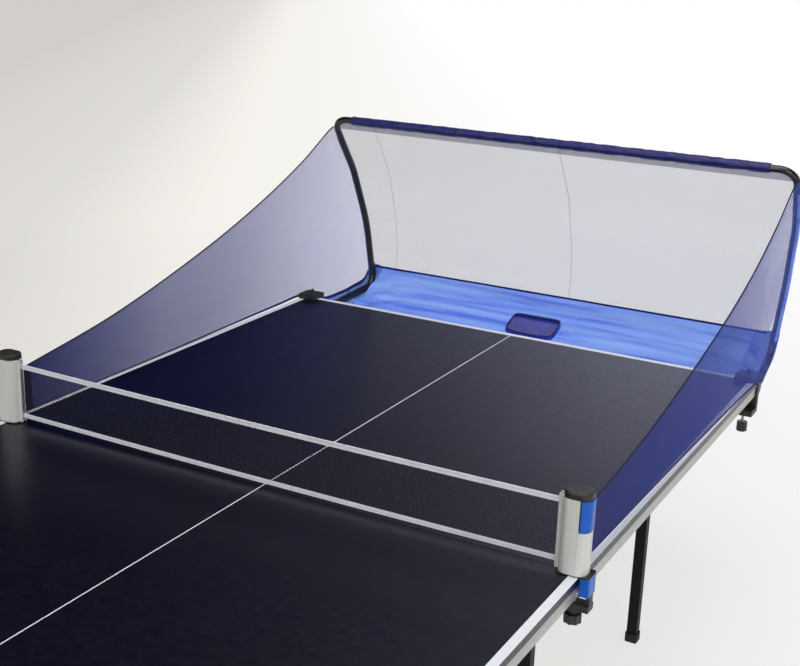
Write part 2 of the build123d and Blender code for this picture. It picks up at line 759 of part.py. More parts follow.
# Back net between the arms, in three flat panels that follow the bends of the arms, with open seams
back_places = [
    (arm_top_corner[1], arm_top_corner[2] - frame_tube_radius - back_net_drop, arm_upper_bend[0]),
    (arm_upper_bend[1], arm_upper_bend[2], arm_upper_bend[0]),
    (arm_middle_bend[1], arm_middle_bend[2], arm_middle_bend[0]),
    (trough_back[0] + cloth_gap, trough_back[1] + trough_thickness, arm_lower_bend[0]),
]
with BuildPart() as back_net:
    for upper, lower, rows in zip(back_places, back_places[1:], back_net_rows):
        lift = Vector(0, upper[0] - lower[0], upper[1] - lower[1])
        middle = Vector(0, far_end_y + (upper[0] + lower[0]) / 2, table_height + (upper[1] + lower[1]) / 2)
        panel = Plane(origin=middle, x_dir=(1, 0, 0), z_dir=Vector(1, 0, 0).cross(lift))
        arm_room = frame_tube_radius + back_net_arm_gap
        low_half = half_width + lower[2] - arm_room
        high_half = half_width + upper[2] - arm_room
        rise = (lift.length - back_net_seam) / 2
        outline = [(-low_half, -rise), (low_half, -rise), (high_half, rise), (-high_half, rise)]
        column_pitch = 2 * low_half / back_net_columns
        shift = (column_pitch / 2, lift.length / rows / 2)
        net_panel(panel, outline, column_pitch, lift.length / rows, catch_strand / 2, shift)
save(back_net, "back_net")

# Wing nets: a front panel from the post to the table's corner and the frame's top corner,
# and a rear panel from that line back towards the arm, with a corded seam between them
for side_name, side in sides:
    front_x = side * (half_width + wing_front[0])
    front_y = net_y + wing_front[1]
    front_low = Vector(front_x, front_y, table_height + wing_front_heights[0])
    front_high = Vector(front_x, front_y, table_height + wing_front_heights[1])
    corner = frame_point(wing_corner, side)
    peak = frame_point(wing_top, side)
    sag = []
    for run, rise in wing_edge_sag:
        along = front_y + run * (peak.Y - front_y)
        sag.append(Vector(front_x, along, front_high.Z + rise * (peak.Z - front_high.Z)))
    clear_share = (wing_edge_clear[0] - wing_front[0]) / (wing_corner[0] - wing_front[0])
    clear_y = front_y + clear_share * (corner.Y - front_y)
    clear = Vector(front_x, clear_y, table_height + wing_edge_clear[1])
    lower_bend = frame_point(arm_lower_bend, side)
    rear_low = lower_bend + Vector(side * frame_tube_radius, -wing_rear_setback, frame_tube_radius)
    arm_room = Vector(0, frame_tube_radius + wing_arm_gap, 0)
    rear_middle = frame_point(arm_middle_bend, side) - arm_room
    rear_high = frame_point(arm_upper_bend, side) - arm_room
    with BuildPart() as wing:
        seam_tail = (peak - corner).normalized() * wing_seam_radius
        rod(corner - seam_tail, peak, wing_seam_radius)
        panels = (
            ((front_low, corner, peak), (front_low, clear, corner, peak, *reversed(sag), front_high)),
            ((corner, rear_low, peak), (corner, rear_low, rear_middle, rear_high, peak)),
        )
        for (first, second, third), points in panels:
            across = (second - first).normalized()
            normal = (second - first).cross(third - first).normalized()
            panel = Plane(origin=first, x_dir=across, z_dir=normal)
            outline = []
            for point in points:
                drift = (point - first).dot(normal) / normal.X
                local = panel.to_local_coords(point - Vector(drift, 0, 0))
                outline.append((local.X, local.Y))
            net_panel(panel, outline, wing_pitch, wing_pitch, wing_hem)
    save(wing, f"{side_name}_wing_net")

# Edge cords along the tops of the wings, from the hooks on the posts to the frame's top corners
with BuildPart() as edge_cords:
    for side_name, side in sides:
        front_x = side * (half_width + wing_front[0])
        front = Vector(front_x, net_y + wing_front[1], table_height + wing_front_heights[1] + edge_cord_lift)
        rise_to_peak = frame_point(wing_top, side) + Vector(0, 0, edge_cord_lift) - front
        route = [front]
        for run, rise in (*wing_edge_sag, (1, 1)):
            route.append(front + Vector(rise_to_peak.X * run, rise_to_peak.Y * run, rise_to_peak.Z * rise))
        with BuildLine() as cord_path:
            FilletPolyline(*route, radius=edge_cord_radii)
        with BuildSketch(Plane(origin=route[0], z_dir=route[1] - route[0])):
            Circle(edge_cord_radius)
        sweep(path=cord_path.wires()[0])
save(edge_cords, "wing_edge_cords")

# Hooks on the backs of the posts that hold the front edges of the wings, shaped to the posts' rounding
hook_z = table_height + wing_front_heights[1] - hook_height
with BuildPart() as hooks:
    for side_name, side in sides:
        hook_x = side * (half_width + wing_front[0])
        box(
            (hook_x - hook_width / 2, net_y, hook_z),
            (hook_x + hook_width / 2, net_y + wing_front[1] - cloth_gap, hook_z + hook_height),
        )
    with BuildSketch(Plane.XY.offset(hook_z)):
        with Locations((-post_x, net_y), (post_x, net_y)):
            RectangleRounded(post_width, post_depth, post_radius)
    extrude(amount=hook_height, mode=Mode.SUBTRACT)
save(hooks, "wing_hooks")

# Trough of cloth behind the far end: it hangs deepest in the middle, where the pocket opens in it,
# and its ends drop towards the arms' lower runs
trough_half_width = half_width + arm_lower_bend[0] - frame_tube_radius - trough_arm_gap
trough_step = 2 * trough_half_width / (len(trough_depths) - 1)
with BuildPart() as trough:
    for i, depth in enumerate(trough_depths):
        x = i * trough_step - trough_half_width
        end_drop = trough_end_drop if i in (0, len(trough_depths) - 1) else 0
        with BuildSketch(Plane(origin=(x, far_end_y, table_height), x_dir=(0, 1, 0), z_dir=(1, 0, 0))):
            with BuildLine():
                gutter = (trough_gutter, trough_front[1] - depth - end_drop)
                ridge = (trough_ridge[0], trough_ridge[1] - trough_ridge_sag * depth - end_drop)
                fold = (trough_fold[0], trough_fold[1] - trough_fold_sag * depth - end_drop)
                stations = (trough_front, gutter, ridge, fold, trough_back)
                for drop in (0, trough_thickness):
                    front, gutter, ridge, fold, back = [(y, z - drop) for y, z in stations]
                    ThreePointArc(front, gutter, ridge)
                    ThreePointArc(ridge, fold, back)
                for y, z in (trough_front, trough_back):
                    Line((y, z), (y, z - trough_thickness))
            make_face()
    loft(ruled=True)
    mouth_low = (-pocket_half_width, far_end_y + pocket_front, table_height + pocket_bottom)
    mouth_high = (pocket_half_width, far_end_y + pocket_front + pocket_depth, table_height + pocket_rim)
    box(mouth_low, mouth_high, Mode.SUBTRACT)
save(trough, "trough")

# Ball pocket: an open-topped bag that hangs through the mouth in the trough
with BuildPart() as pocket:
    shrink = Vector(cloth_gap, cloth_gap, 0)
    outer_low = Vector(mouth_low) + shrink
    outer_high = Vector(mouth_high) - shrink
    box(outer_low, outer_high)
    wall = Vector(pocket_wall, pocket_wall, pocket_wall)
    box(outer_low + wall, outer_high - Vector(pocket_wall, pocket_wall, 0), Mode.SUBTRACT)
save(pocket, "ball_pocket")
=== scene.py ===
import math

import bmesh
import bpy
from mathutils import Matrix, Vector, geometry, noise


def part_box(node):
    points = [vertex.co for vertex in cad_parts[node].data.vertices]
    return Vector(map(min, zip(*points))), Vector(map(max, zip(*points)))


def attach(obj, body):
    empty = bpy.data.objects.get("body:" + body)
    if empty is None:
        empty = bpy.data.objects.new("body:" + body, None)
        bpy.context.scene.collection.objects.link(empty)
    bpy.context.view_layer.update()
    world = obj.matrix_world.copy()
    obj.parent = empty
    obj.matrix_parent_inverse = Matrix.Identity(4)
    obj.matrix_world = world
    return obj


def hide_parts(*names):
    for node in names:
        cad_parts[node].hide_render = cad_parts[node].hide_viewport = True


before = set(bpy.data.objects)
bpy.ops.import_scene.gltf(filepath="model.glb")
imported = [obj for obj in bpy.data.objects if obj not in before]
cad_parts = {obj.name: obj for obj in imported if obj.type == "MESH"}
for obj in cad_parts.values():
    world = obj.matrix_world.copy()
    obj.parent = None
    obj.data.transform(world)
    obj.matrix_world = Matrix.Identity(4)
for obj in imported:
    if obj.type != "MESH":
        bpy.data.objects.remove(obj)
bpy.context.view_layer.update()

# The room: a wide pale floor that keeps the table's soft shadow, with painted shade that makes it
# greyer on the left than on the right, under three soft lamps. Its sky is plain and pale; what the
# satin tops mirror of it is dim overhead, with a haze at their far end.
bpy.context.scene.view_settings.view_transform = "Standard"
floor_reach, floor_gap, floor_slant = 70, 0.001, 0.62
mirrored_strength = 3.2


def lay(finish, kind, sockets=None, **settings):
    """Puts one node into a finish. A socket takes a value, or the output that feeds it."""
    layer = finish.node_tree.nodes.new("ShaderNode" + kind)
    for setting, value in settings.items():
        setattr(layer, setting, value)
    for socket, value in (sockets or {}).items():
        if isinstance(value, bpy.types.NodeSocket):
            finish.node_tree.links.new(value, layer.inputs[socket])
        else:
            layer.inputs[socket].default_value = value
    return layer


def own_map(finish, kind="Object"):
    """The coordinates a finish is laid out on: Object is the piece's own place, UV its flat cut."""
    return lay(finish, "TexCoord").outputs[kind]


def axes(finish, kind="Object"):
    """The same coordinates, one axis at a time."""
    return lay(finish, "SeparateXYZ", {0: own_map(finish, kind)}).outputs


def shades(finish, amount, *stops):
    """A run of colours, each with its place from 0 to 1, read at amount."""
    ramp = lay(finish, "ValToRGB", {"Fac": amount})
    while len(ramp.color_ramp.elements) < len(stops):
        ramp.color_ramp.elements.new(0.5)
    for element, (place, colour) in zip(ramp.color_ramp.elements, stops):
        element.position = place
        element.color = (*colour, 1.0)
    return ramp.outputs["Color"]


def greys(*stops):
    """Stops for a run of plain greys, each with its place and its level."""
    return [(place, (level, level, level)) for place, level in stops]


floor_shape = bmesh.new()
bmesh.ops.create_grid(floor_shape, x_segments=8, y_segments=8, size=floor_reach)
bmesh.ops.translate(floor_shape, verts=floor_shape.verts, vec=(0, 0, -floor_gap))
floor_mesh = bpy.data.meshes.new("studio_floor")
floor_shape.to_mesh(floor_mesh)
floor_shape.free()
floor = bpy.data.objects.new("studio_floor", floor_mesh)
bpy.context.scene.collection.objects.link(floor)

floor_paint = bpy.data.materials.new("pale_floor")
floor_paint.use_nodes = True
floor_axes = axes(floor_paint)
across = lay(floor_paint, "Math", {0: floor_axes["Y"], 1: floor_slant, 2: floor_axes["X"]},
             operation="MULTIPLY_ADD")
reach = lay(floor_paint, "MapRange",
            {"Value": across.outputs[0], "From Min": -6.0, "From Max": 4.0})
# Painted shade: the floor's colour greys from its right side to its left, with no lamp causing it.
floor_painted_falloff = shades(floor_paint, reach.outputs[0], (0.1, (0.64, 0.62, 0.59)), (0.38, (0.74, 0.72, 0.68)),
              (0.50, (0.91, 0.885, 0.84)), (0.70, (0.95, 0.94, 0.92)), (0.86, (1.0, 1.0, 1.0)))
floor_shader = floor_paint.node_tree.nodes["Principled BSDF"]
floor_paint.node_tree.links.new(floor_painted_falloff, floor_shader.inputs["Base Color"])
floor_shader.inputs["Roughness"].default_value = 0.9
floor_shader.inputs["Specular IOR Level"].default_value = 0.1
glow = lay(floor_paint, "Emission", {"Color": floor_painted_falloff})
ray = lay(floor_paint, "LightPath").outputs
seen = lay(floor_paint, "Math", {0: ray["Is Camera Ray"], 1: ray["Is Glossy Ray"]},
           operation="MAXIMUM")
seen = lay(floor_paint, "Math", {0: seen.outputs[0], 1: ray["Is Transmission Ray"]},
           operation="MAXIMUM")
away = lay(floor_paint, "VectorMath", {0: own_map(floor_paint)}, operation="LENGTH")
plain = lay(floor_paint, "MapRange", {"Value": away.outputs["Value"], "From Min": 1.5,
                                      "From Max": 6.0, "To Min": 0.75, "To Max": 1.0})
share = lay(floor_paint, "Math", {0: seen.outputs[0], 1: plain.outputs[0]}, operation="MULTIPLY")
floor_mix = lay(floor_paint, "MixShader",
                {0: share.outputs[0], 1: floor_shader.outputs[0], 2: glow.outputs[0]})
floor_paint.node_tree.links.new(
    floor_mix.outputs[0], floor_paint.node_tree.nodes["Material Output"].inputs["Surface"])
floor_mesh.materials.append(floor_paint)

sky = bpy.data.worlds.new("studio_sky")
sky.use_nodes = True
bpy.context.scene.world = sky
sky_axes = axes(sky, "Generated")
overhead = ((0.45, (0.10, 0.10, 0.13)), (0.58, (0.05, 0.05, 0.07)), (1.0, (0.22, 0.22, 0.23)))
sky_shade = shades(sky, sky_axes["Z"], (0.0, (0.95, 0.95, 0.98)), (0.30, (0.78, 0.78, 0.84)),
                   (0.37, (0.60, 0.60, 0.67)), *overhead)
sky_side = lay(sky, "MapRange", {"Value": sky_axes["X"], "From Min": -0.60, "From Max": -0.30,
                                 "To Min": 0.03, "To Max": 1.2})
soft_sky = sky.node_tree.nodes["Background"]
sky.node_tree.links.new(sky_shade, soft_sky.inputs["Color"])
sky.node_tree.links.new(sky_side.outputs[0], soft_sky.inputs["Strength"])
mirrored_shade = shades(sky, sky_axes["Z"], (0.0, (0.55, 0.55, 0.64)), (0.18, (0.66, 0.66, 0.78)),
                        (0.30, (0.76, 0.76, 0.94)), (0.37, (0.48, 0.48, 0.60)), *overhead)
round_about = lay(sky, "MapRange", {"Value": sky_axes["X"], "From Min": -1.0, "From Max": 1.0})
mirrored_side = shades(sky, round_about.outputs[0], *greys(
    (0.20, 0.01), (0.295, 0.20), (0.375, 1.0), (0.44, 0.70), (0.55, 0.30), (0.70, 0.14)))
mirrored_level = lay(sky, "Math", {0: mirrored_side, 1: mirrored_strength}, operation="MULTIPLY")
mirrored_sky = lay(sky, "Background",
                   {"Color": mirrored_shade, "Strength": mirrored_level.outputs[0]})
plain_sky = lay(sky, "Background", {"Color": (0.94, 0.93, 0.91, 1.0), "Strength": 1.0})
sky_ray = lay(sky, "LightPath").outputs
lit_sky = lay(sky, "MixShader", {0: sky_ray["Is Glossy Ray"], 1: soft_sky.outputs[0],
                                 2: mirrored_sky.outputs[0]})
sky_mix = lay(sky, "MixShader", {0: sky_ray["Is Camera Ray"], 1: lit_sky.outputs[0],
                                 2: plain_sky.outputs[0]})
sky.node_tree.links.new(sky_mix.outputs[0],
                        sky.node_tree.nodes["World Output"].inputs["Surface"])

for lamp_name, power, size, spot, aim in (
    ("soft_box", 125.0, (4.4, 3.2), (0.6, -0.2, 4.6), (0.1, 0.1, 0.7)),
    ("side_fill", 95.0, (3.0, 2.4), (4.6, -3.4, 3.2), (0.2, 0.2, 0.8)),
    ("front_fill", 60.0, (3.0, 2.4), (-2.0, -5.4, 3.4), (0.0, 0.4, 0.9)),
):
    lamp = bpy.data.lights.new(lamp_name, "AREA")
    lamp.shape = "RECTANGLE"
    lamp.energy = power
    lamp.size, lamp.size_y = size
    lamp_object = bpy.data.objects.new(lamp_name, lamp)
    lamp_object.location = spot
    lamp_object.rotation_euler = (Vector(aim) - Vector(spot)).to_track_quat("-Z", "Y").to_euler()
    bpy.context.scene.collection.objects.link(lamp_object)

# The viewpoint: beyond the near right corner of the table and a little above head height,
# looking along the table towards the catch net, with the picture turned by two degrees.
camera_spot = (1.526, -2.3975, 1.964)
turn, tilt, roll = math.radians(28.28), math.radians(17.39), math.radians(1.93)
back = Vector((math.sin(turn) * math.cos(tilt), -math.cos(turn) * math.cos(tilt), math.sin(tilt)))
level = Vector((0, 0, 1)).cross(back).normalized()
upright = back.cross(level)
right = math.cos(roll) * level + math.sin(roll) * upright
above = -math.sin(roll) * level + math.cos(roll) * upright
camera = bpy.data.cameras.new("photo_camera")
camera.sensor_fit = "HORIZONTAL"
camera.sensor_width = 36.0
camera.lens = 58.7
camera.clip_end = 300.0
camera_object = bpy.data.objects.new("photo_camera", camera)
camera_object.matrix_world = Matrix.Translation(camera_spot) @ Matrix(
    (right, above, back)).transposed().to_4x4()
bpy.context.scene.collection.objects.link(camera_object)
bpy.context.scene.camera = camera_object

# The two playing tops: wood-based boards 18 mm thick, sprayed near-black navy with a satin
# lacquer, edges too. White lines are painted on the upper face, 20 mm wide round the outside
# and 3 mm wide down the middle.
half_width, line_width, middle_line, line_depth = 0.7625, 0.020, 0.003, 0.0005
far_edge, near_edge, top_height = 1.1795, -1.5605, 0.760


def coat(finish, *nodes):
    """Gives CAD nodes this finish alone."""
    for node in nodes:
        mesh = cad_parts[node].data
        mesh.materials.clear()
        mesh.materials.append(finish)


def new_finish(name, **sockets):
    """A finish with the values that are the same all over it, by socket name, _ for a space."""
    finish = bpy.data.materials.new(name)
    finish.use_nodes = True
    shader = finish.node_tree.nodes["Principled BSDF"]
    for socket, value in sockets.items():
        shader.inputs[socket.replace("_", " ")].default_value = value
    return finish


def feed(finish, **sockets):
    """Feeds the shader's sockets from other nodes."""
    shader = finish.node_tree.nodes["Principled BSDF"]
    for socket, output in sockets.items():
        finish.node_tree.links.new(output, shader.inputs[socket.replace("_", " ")])


def grain(finish, scale, detail=4.0, stretch=(1, 1, 1), roughness=0.55):
    """Cloudy grain on object coordinates, drawn out along an axis by a small stretch there."""
    where = lay(finish, "Mapping", {"Vector": own_map(finish), "Scale": stretch})
    return lay(finish, "TexNoise", {"Vector": where.outputs[0], "Scale": scale, "Detail": detail,
                                    "Roughness": roughness}).outputs["Fac"]


def spread(finish, amount, low, high):
    """Moves grain, which runs from about 0.3 to 0.7, into the range low to high."""
    return lay(finish, "MapRange", {"Value": amount, "From Min": 0.3, "From Max": 0.7,
                                    "To Min": low, "To Max": high}).outputs[0]


def relief(finish, amount, strength, depth):
    """Feeds the shader's normal with a relief of that depth in metres."""
    feed(finish, Normal=lay(finish, "Bump", {"Height": amount, "Strength": strength,
                                             "Distance": depth}).outputs[0])


def sums(finish, operation, first, second=0.0):
    """One sum on two values or outputs."""
    return lay(finish, "Math", {0: first, 1: second}, operation=operation).outputs[0]


def blend(finish, amount, under, over):
    """Covers one colour with another by an amount from 0 to 1."""
    return lay(finish, "Mix", {0: amount, 6: under, 7: over}, data_type="RGBA").outputs[2]


lacquer = new_finish("navy_satin_lacquer", Specular_IOR_Level=0.42)
spot = axes(lacquer)
out = sums(lacquer, "ABSOLUTE", spot["X"])
painted = sums(lacquer, "MAXIMUM", sums(lacquer, "GREATER_THAN", out, half_width - line_width),
               sums(lacquer, "LESS_THAN", out, middle_line / 2))
painted = sums(lacquer, "MAXIMUM", painted,
               sums(lacquer, "GREATER_THAN", spot["Y"], far_edge - line_width))
painted = sums(lacquer, "MAXIMUM", painted,
               sums(lacquer, "LESS_THAN", spot["Y"], near_edge + line_width))
painted = sums(lacquer, "MULTIPLY", painted,
               sums(lacquer, "GREATER_THAN", spot["Z"], top_height - line_depth))
board = shades(lacquer, grain(lacquer, 7.0), (0.3, (0.0010, 0.0009, 0.0075)),
               (0.7, (0.0016, 0.0014, 0.0100)))
white = shades(lacquer, grain(lacquer, 90.0), (0.3, (0.76, 0.77, 0.80)), (0.7, (0.84, 0.85, 0.87)))
feed(lacquer, Base_Color=blend(lacquer, painted, board, white),
     Roughness=spread(lacquer, grain(lacquer, 55.0), 0.29, 0.37))
relief(lacquer, grain(lacquer, 420.0, 2.0), 0.10, 0.0004)
coat(lacquer, "near_top", "far_top")

# The apron: roll-formed side rails and cross rails under each top, galvanised steel left bare.
# The zinc shows as faint spangles and dull streaks along the rolling direction.
spangle_cover = 0.35
galvanised = new_finish("galvanised_steel", Metallic=0.85)
spangle = lay(galvanised, "TexVoronoi", {"Vector": own_map(galvanised), "Scale": 85.0})
streak = grain(galvanised, 30.0, 5.0, (1.0, 0.06, 1.0))
streaked = shades(galvanised, streak, (0.3, (0.36, 0.355, 0.34)), (0.7, (0.56, 0.555, 0.53)))
spangled = shades(galvanised, spangle.outputs["Distance"], (0.0, (0.62, 0.62, 0.60)),
                  (1.0, (0.36, 0.36, 0.35)))
feed(galvanised, Base_Color=blend(galvanised, spangle_cover, streaked, spangled),
     Roughness=spread(galvanised, streak, 0.34, 0.52))
relief(galvanised, streak, 0.12, 0.0004)
coat(galvanised, "near_side_rails", "far_side_rails", "near_cross_rails", "far_cross_rails")

# The joining plates across the middle joint, all bolts and the roller spindles: pressed and
# turned steel, bright zinc plated. Fine turning marks and a slight yellow tone show on the plating.


def mottle(finish, amount, dark, floor_painted_falloff, smooth, dull, between=(0.3, 0.7)):
    """Takes a finish from dark to pale and from smooth to dull, both by the same amount."""
    feed(finish, Base_Color=shades(finish, amount, (between[0], dark), (between[1], floor_painted_falloff)),
         Roughness=spread(finish, amount, smooth, dull))


plated = new_finish("bright_zinc_plate", Metallic=1.0)
mottle(plated, grain(plated, 120.0, 6.0), (0.50, 0.50, 0.48), (0.68, 0.67, 0.63), 0.24, 0.40)
relief(plated, grain(plated, 900.0, 2.0, (1.0, 1.0, 0.1)), 0.12, 0.0002)
coat(plated, "joining_plates", "joining_bolts", "leg_pivot_bolts", "roller_spindles")

# Leg frames, braces and their hinge brackets and slotted guides: welded square tube and pressed
# plate, powder coated black. The coat has a fine orange-peel and is rubbed paler in patches.
powder = new_finish("black_powder_coat", Specular_IOR_Level=0.15)
mottle(powder, grain(powder, 14.0, 6.0), (0.0020, 0.0019, 0.0019), (0.0055, 0.0055, 0.0055),
       0.38, 0.54, between=(0.35, 0.75))
relief(powder, grain(powder, 650.0, 2.0), 0.22, 0.0004)
stations = ("near_end", "near_net", "far_net", "far_end")
coat(powder, "leg_brackets", "brace_guides", *(f"{name}_legs" for name in stations),
     *(f"{name}_brace" for name in stations))

# The foot caps: moulded black rubber cups pushed over the ends of the legs.
# They are matt, and greyed with dust towards the floor.
dust_height = 0.05
rubber = new_finish("black_rubber", Specular_IOR_Level=0.3)
low = lay(rubber, "MapRange", {"Value": axes(rubber)["Z"], "From Min": 0.0,
                               "From Max": dust_height})
dust = sums(rubber, "MULTIPLY", sums(rubber, "SUBTRACT", 1.0, low.outputs[0]),
            grain(rubber, 60.0, 5.0))
feed(rubber, Base_Color=shades(rubber, dust, (0.0, (0.009, 0.009, 0.009)),
                               (1.0, (0.07, 0.066, 0.06))),
     Roughness=spread(rubber, grain(rubber, 60.0, 5.0), 0.70, 0.90))
relief(rubber, grain(rubber, 380.0, 3.0), 0.25, 0.0005)
coat(rubber, *(f"{name}_feet" for name in stations))

# The net posts: aluminium extrusions in a pale warm grey satin, with faint draw lines down their
# length. Each houses a roller and has a slot with a lip on the side where the net comes out.
drawn = new_finish("satin_aluminium", Metallic=0.08)
lines = grain(drawn, 260.0, 3.0, (1.0, 1.0, 0.012))
mottle(drawn, lines, (0.56, 0.58, 0.53), (0.66, 0.68, 0.63), 0.34, 0.48)
relief(drawn, lines, 0.10, 0.0003)
coat(drawn, "left_post_housing", "right_post_housing")

# Post caps, base plates, clamp jaws, pads, the catch frame's corner clamps and the hooks that
# hold the wings: black moulded plastic, lightly textured, with a slight olive cast in the light.
moulded = new_finish("black_moulded_plastic")
mottle(moulded, grain(moulded, 45.0, 5.0), (0.010, 0.010, 0.008), (0.022, 0.022, 0.018),
       0.40, 0.58, between=(0.3, 0.75))
relief(moulded, grain(moulded, 900.0, 2.0), 0.25, 0.0003)
coat(moulded, "post_caps", "post_bases", "wing_hooks",
     *(f"{side}_{piece}" for side in ("left", "right")
       for piece in ("clamp_jaw", "clamp_pad", "catch_clamp", "catch_pad")))

# Release buttons and clamp blocks: moulded mid-blue glossy plastic, a little cloudy in its colour.
# The rollers inside the posts are moulded too, in pale grey.
blue = new_finish("blue_glossy_plastic", Coat_Weight=0.06, Coat_Roughness=0.15,
                  Specular_IOR_Level=0.3)
mottle(blue, grain(blue, 35.0, 4.0), (0.001, 0.078, 0.42), (0.002, 0.105, 0.50), 0.28, 0.40)
relief(blue, grain(blue, 700.0, 2.0), 0.10, 0.0003)
coat(blue, "left_release_button", "right_release_button", "left_clamp_block", "right_clamp_block")

reel = new_finish("grey_roller_plastic")
mottle(reel, grain(reel, 60.0, 4.0), (0.36, 0.36, 0.36), (0.46, 0.46, 0.45), 0.40, 0.55)
coat(reel, "left_net_roller", "right_net_roller")

# Clamp screws: a bright steel rod with a rolled thread, and a black moulded knob pressed on its
# lower end. The knob ends at the height where the rod leaves it.
thread_pitch = 0.00125
for kind, knob_top in (("clamp", 0.681), ("catch", 0.633)):
    screw = new_finish(f"{kind}_screw_steel_and_plastic")
    rise = axes(screw)["Z"]
    rod = sums(screw, "GREATER_THAN", rise, knob_top)
    wear = grain(screw, 80.0, 5.0)
    knob_black = shades(screw, wear, (0.3, (0.009, 0.009, 0.009)), (0.75, (0.02, 0.02, 0.019)))
    rod_steel = shades(screw, wear, (0.3, (0.50, 0.49, 0.47)), (0.7, (0.66, 0.65, 0.62)))
    feed(screw, Base_Color=blend(screw, rod, knob_black, rod_steel), Metallic=rod,
         Roughness=spread(screw, wear, 0.30, 0.46))
    thread = sums(screw, "SINE", sums(screw, "MULTIPLY", rise, 2 * math.pi / thread_pitch))
    relief(screw, sums(screw, "MULTIPLY", thread, rod), 0.5, 0.0004)
    coat(screw, f"left_{kind}_screw", f"right_{kind}_screw")

# The catch frame: two arms of bent round tube and the straight top tube between them.
# They are sprayed gloss black over steel, with small ripples in the paint.
gloss = new_finish("gloss_black_paint", Coat_Weight=0.3, Coat_Roughness=0.12)
mottle(gloss, grain(gloss, 40.0, 5.0), (0.005, 0.005, 0.006), (0.013, 0.013, 0.015), 0.24, 0.36,
       between=(0.3, 0.75))
relief(gloss, grain(gloss, 220.0, 3.0), 0.12, 0.0004)
coat(gloss, "left_catch_arm", "right_catch_arm", "catch_top_tube")

# The playing net: knotted navy cord in 6 mm squares, drawn out from both posts and hanging a
# little slack. A white woven tape is folded over its top edge and another over its bottom edge,
# and sewn along both.
net_low, net_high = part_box("net_mesh")
net_y = (net_low[1] + net_high[1]) / 2
net_half, net_slack = net_high[0], 0.004
net_square, cord_thickness = 0.006, 0.0011


def made(name, shape, finish):
    """Turns a finished shape into a piece of the table."""
    mesh = bpy.data.meshes.new(name)
    shape.to_mesh(mesh)
    shape.free()
    piece = bpy.data.objects.new(name, mesh)
    bpy.context.scene.collection.objects.link(piece)
    mesh.materials.append(finish)
    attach(piece, "table")
    return piece


def cut_sheet(columns, rows, flat, put, seamed=False):
    """A cut of cloth in columns and rows, with its flat place in metres as its map, put in place
    point by point. A seamed cut is sewn to itself across its columns, as a tube is."""
    cloth = bmesh.new()
    cut = cloth.loops.layers.uv.new("cut")
    bmesh.ops.create_grid(cloth, x_segments=columns, y_segments=rows, size=0.5)
    for face in cloth.faces:
        face.smooth = True
        for corner in face.loops:
            corner[cut].uv = ((corner.vert.co.x + 0.5) * flat[0],
                              (corner.vert.co.y + 0.5) * flat[1])
    for point in cloth.verts:
        point.co = put(point.co.x + 0.5, point.co.y + 0.5)
    if seamed:
        bmesh.ops.remove_doubles(cloth, verts=cloth.verts, dist=0.00002)
        bmesh.ops.recalc_face_normals(cloth, faces=cloth.faces)
    return cloth


def net_hang(x):
    """How far the net hangs down at x."""
    return net_slack * (1 - (x / net_half) ** 2)


def net_place(u, v):
    x = (2 * u - 1) * net_half
    return Vector((x, net_y, net_low[2] + v * (net_high[2] - net_low[2]) - net_hang(x)))


cord = new_finish("navy_net_cord")
mottle(cord, grain(cord, 700.0, 2.0), (0.006, 0.006, 0.012), (0.016, 0.016, 0.03), 0.62, 0.82)
net_rows = round((net_high[2] - net_low[2]) / net_square)
net_columns = round(2 * net_half / net_square)
net = made("playing_net", cut_sheet(net_columns, net_rows, (1.49, 0.1145), net_place), cord)
strands = net.modifiers.new("strands", "WIREFRAME")
strands.thickness = cord_thickness
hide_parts("net_mesh")

tape_middle, seam_out, seam_half = 0.0125, 0.0095, 0.0004
stitch_pitch, stitch_share = 0.0035, 0.62
fold_roundness, fold_width = 3.5, 3.0
tape = new_finish("white_woven_tape", Sheen_Weight=0.2)
tape_map = axes(tape, "UV")
along_seam = sums(tape, "FRACT", sums(tape, "DIVIDE", tape_map["Y"], stitch_pitch))
dash = sums(tape, "LESS_THAN", along_seam, stitch_share)
off_middle = sums(tape, "ABSOLUTE", sums(tape, "SUBTRACT", tape_map["X"], tape_middle))
off_seam = sums(tape, "ABSOLUTE", sums(tape, "SUBTRACT", off_middle, seam_out))
stitch = sums(tape, "MULTIPLY", dash, sums(tape, "LESS_THAN", off_seam, seam_half))
weave = lay(tape, "TexWave", {"Vector": own_map(tape, "UV"), "Scale": 420.0, "Distortion": 0.6})
soil = shades(tape, grain(tape, 25.0, 5.0), (0.3, (0.70, 0.71, 0.74)), (0.7, (0.82, 0.83, 0.85)))
feed(tape, Base_Color=blend(tape, stitch, soil, (0.52, 0.53, 0.56, 1.0)),
     Roughness=spread(tape, grain(tape, 200.0), 0.60, 0.78))
relief(tape, sums(tape, "SUBTRACT", weave.outputs["Fac"], stitch), 0.35, 0.0003)
for tape_name, fold_up in (("net_top_tape", 1), ("net_bottom_tape", -1)):
    low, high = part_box(tape_name)
    fold, open_edge = (high[2], low[2]) if fold_up > 0 else (low[2], high[2])
    tape_half, thick = high[0], (high[1] - low[1]) / 2

    def tape_place(u, v):
        x = (2 * v - 1) * tape_half
        lip = 2 * u - 1
        rise = open_edge + (fold - open_edge) * (1 - abs(lip) ** fold_roundness)
        bow = thick * math.copysign(min(1.0, abs(lip) * fold_width) ** 0.5, lip)
        return Vector((x, net_y + bow, rise - net_hang(x)))

    strip = made(f"sewn_{tape_name}", cut_sheet(16, 120, (0.025, 1.47), tape_place), tape)
    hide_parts(tape_name)

# The sleeve: navy nylon cloth sewn into a tube and drawn over the top tube, rucked into small
# wrinkles. The back net hangs from its seam; the tube shows bare and black at both corners.
sleeve_low, sleeve_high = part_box("top_sleeve")
tube_y, tube_z = (sleeve_low[1] + sleeve_high[1]) / 2, (sleeve_low[2] + sleeve_high[2]) / 2
sleeve_radius, sleeve_half = (sleeve_high[2] - sleeve_low[2]) / 2, sleeve_high[0]
seam_angle, sleeve_turn = -84, 348
sleeve_ease, ruck_depth, broad_ruck, fine_ruck = 0.0012, 0.0016, 38, 90


